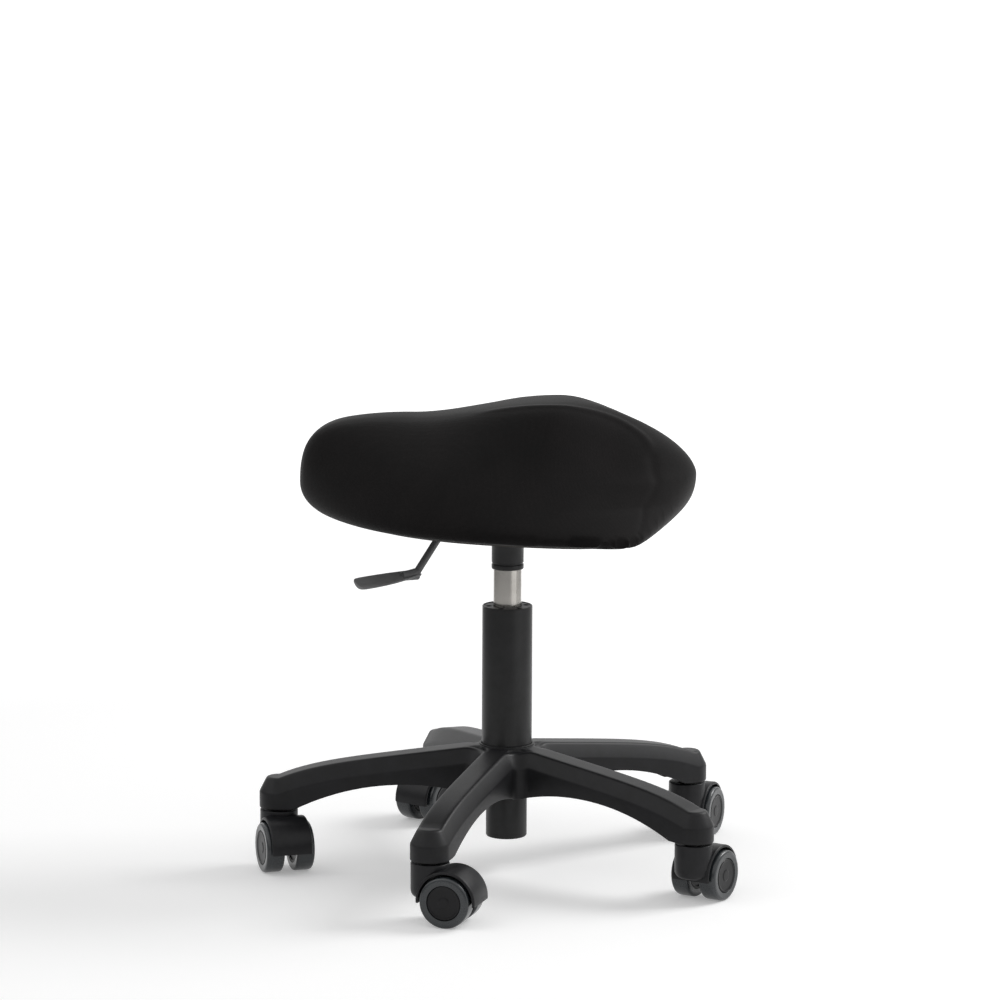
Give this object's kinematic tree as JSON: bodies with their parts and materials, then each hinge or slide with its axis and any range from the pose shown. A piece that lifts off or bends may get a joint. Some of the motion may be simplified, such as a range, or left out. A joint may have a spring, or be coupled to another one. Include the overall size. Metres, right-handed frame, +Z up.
{
  "type": "ergonomic stool",
  "caption": "Backless ergonomic stool: upholstered saddle seat on a swivelling, height-adjustable gas column over a star base with swivel castors.",
  "frame": {"origin": "on the floor, on the column's axis, which is also the centre of the whole outline seen from above at rest", "axes": "+Z is up along the column; the base, the castors, the column and the seat each stand at their own heading about +Z, as pictured"},
  "size_m": [0.4901, 0.4986, 0.4767],
  "materials": {
    "base_nylon": "satin moulded black nylon, fine grain",
    "castor_nylon": "satin moulded black nylon",
    "wheel_nylon": "satin moulded near-black nylon",
    "tread_grey": "soft grey polyurethane with a slight sheen",
    "bush_plastic": "moulded black plastic",
    "lever_plastic": "satin moulded black plastic",
    "black_coat": "satin black powder coat on steel",
    "bare_steel": "ground and polished bright steel",
    "plywood": "raw birch plywood",
    "black_fabric": "black woven upholstery fabric, soft sheen at grazing angles",
    "bump_rubber": "black rubber"
  },
  "bodies": {
    "base": {"base": "base_nylon", "column_tube": "black_coat", "guide_bush": "bush_plastic", "bearing_washer_lower": "bare_steel", "ball_cage": "bare_steel", "castor_1_stem": "bare_steel", "castor_2_stem": "bare_steel", "castor_3_stem": "bare_steel", "castor_4_stem": "bare_steel", "castor_5_stem": "bare_steel"},
    "spindle": {"piston_rod": "bare_steel", "piston": "bush_plastic", "bearing_washer_upper": "bare_steel", "bump_stop": "bump_rubber", "retaining_clip": "bare_steel"},
    "seat": {"gas_cylinder": "bare_steel", "mechanism_plate": "black_coat", "lever_pivot_pin": "bare_steel", "plate_bolt_1": "bare_steel", "plate_bolt_2": "bare_steel", "plate_bolt_3": "bare_steel", "plate_bolt_4": "bare_steel", "seat_board": "plywood", "cushion": "black_fabric"},
    "lever": {"lever_rod": "black_coat", "lever_handle": "lever_plastic"},
    "valve": {"valve_button": "bare_steel"},
    "castor_1": {"castor_1_housing": "castor_nylon", "castor_1_axle": "bare_steel"},
    "wheel_1_left": {"castor_1_wheel_left": "wheel_nylon", "castor_1_tread_left": "tread_grey"},
    "wheel_1_right": {"castor_1_wheel_right": "wheel_nylon", "castor_1_tread_right": "tread_grey"},
    "castor_2": {"castor_2_housing": "castor_nylon", "castor_2_axle": "bare_steel"},
    "wheel_2_left": {"castor_2_wheel_left": "wheel_nylon", "castor_2_tread_left": "tread_grey"},
    "wheel_2_right": {"castor_2_wheel_right": "wheel_nylon", "castor_2_tread_right": "tread_grey"},
    "castor_3": {"castor_3_housing": "castor_nylon", "castor_3_axle": "bare_steel"},
    "wheel_3_left": {"castor_3_wheel_left": "wheel_nylon", "castor_3_tread_left": "tread_grey"},
    "wheel_3_right": {"castor_3_wheel_right": "wheel_nylon", "castor_3_tread_right": "tread_grey"},
    "castor_4": {"castor_4_housing": "castor_nylon", "castor_4_axle": "bare_steel"},
    "wheel_4_left": {"castor_4_wheel_left": "wheel_nylon", "castor_4_tread_left": "tread_grey"},
    "wheel_4_right": {"castor_4_wheel_right": "wheel_nylon", "castor_4_tread_right": "tread_grey"},
    "castor_5": {"castor_5_housing": "castor_nylon", "castor_5_axle": "bare_steel"},
    "wheel_5_left": {"castor_5_wheel_left": "wheel_nylon", "castor_5_tread_left": "tread_grey"},
    "wheel_5_right": {"castor_5_wheel_right": "wheel_nylon", "castor_5_tread_right": "tread_grey"}
  },
  "joints": [
    {"name": "seat_swivel", "type": "hinge", "parent": "base", "child": "spindle", "pos_m": [0, 0, 0.04], "axis": [0, 0, 1], "continuous": true},
    {"name": "seat_lift", "type": "slide", "parent": "spindle", "child": "seat", "axis": [0, 0, 1], "range_m": [-0.034, 0.086]},
    {"name": "lever_lift", "type": "hinge", "parent": "seat", "child": "lever", "pos_m": [0.01852, -0.04428, 0.3462], "axis": [-0.9225, -0.3859, 0], "range_deg": [0, 3], "stiffness_Nm_per_rad": 3},
    {"name": "valve_press", "type": "slide", "parent": "seat", "child": "valve", "axis": [0, 0, -1], "range_m": [0, 0.00265]},
    {"name": "castor_1_swivel", "type": "hinge", "parent": "base", "child": "castor_1", "pos_m": [-0.03959, -0.22454, 0.045], "axis": [0, 0, 1], "continuous": true},
    {"name": "castor_1_spin_left", "type": "hinge", "parent": "castor_1", "child": "wheel_1_left", "pos_m": [-0.01785, -0.22117, 0.025], "axis": [-0.153, 0.9882, 0], "continuous": true},
    {"name": "castor_1_spin_right", "type": "hinge", "parent": "castor_1", "child": "wheel_1_right", "pos_m": [-0.01785, -0.22117, 0.025], "axis": [-0.153, 0.9882, 0], "continuous": true},
    {"name": "castor_2_swivel", "type": "hinge", "parent": "base", "child": "castor_2", "pos_m": [0.20131, -0.10704, 0.045], "axis": [0, 0, 1], "continuous": true},
    {"name": "castor_2_spin_left", "type": "hinge", "parent": "castor_2", "child": "wheel_2_left", "pos_m": [0.21164, -0.08761, 0.025], "axis": [-0.8829, 0.4695, 0], "continuous": true},
    {"name": "castor_2_spin_right", "type": "hinge", "parent": "castor_2", "child": "wheel_2_right", "pos_m": [0.21164, -0.08761, 0.025], "axis": [-0.8829, 0.4695, 0], "continuous": true},
    {"name": "castor_3_swivel", "type": "hinge", "parent": "base", "child": "castor_3", "pos_m": [0.16401, 0.15838, 0.045], "axis": [0, 0, 1], "continuous": true},
    {"name": "castor_3_spin_left", "type": "hinge", "parent": "castor_3", "child": "wheel_3_left", "pos_m": [0.14741, 0.17281, 0.025], "axis": [-0.6561, -0.7547, 0], "continuous": true},
    {"name": "castor_3_spin_right", "type": "hinge", "parent": "castor_3", "child": "wheel_3_right", "pos_m": [0.14741, 0.17281, 0.025], "axis": [-0.6561, -0.7547, 0], "continuous": true},
    {"name": "castor_4_swivel", "type": "hinge", "parent": "base", "child": "castor_4", "pos_m": [-0.09995, 0.20492, 0.045], "axis": [0, 0, 1], "continuous": true},
    {"name": "castor_4_spin_left", "type": "hinge", "parent": "castor_4", "child": "wheel_4_left", "pos_m": [-0.11846, 0.21681, 0.025], "axis": [-0.5402, -0.8415, 0], "continuous": true},
    {"name": "castor_4_spin_right", "type": "hinge", "parent": "castor_4", "child": "wheel_4_right", "pos_m": [-0.11846, 0.21681, 0.025], "axis": [-0.5402, -0.8415, 0], "continuous": true},
    {"name": "castor_5_swivel", "type": "hinge", "parent": "base", "child": "castor_5", "pos_m": [-0.22578, -0.03173, 0.045], "axis": [0, 0, 1], "continuous": true},
    {"name": "castor_5_spin_left", "type": "hinge", "parent": "castor_5", "child": "wheel_5_left", "pos_m": [-0.21086, -0.0479, 0.025], "axis": [0.7349, 0.6782, 0], "continuous": true},
    {"name": "castor_5_spin_right", "type": "hinge", "parent": "castor_5", "child": "wheel_5_right", "pos_m": [-0.21086, -0.0479, 0.025], "axis": [0.7349, 0.6782, 0], "continuous": true}
  ],
  "couplings": [
    {"joint": "valve_press", "follows": "lever_lift", "m_per_rad": 0.0505}
  ]
}
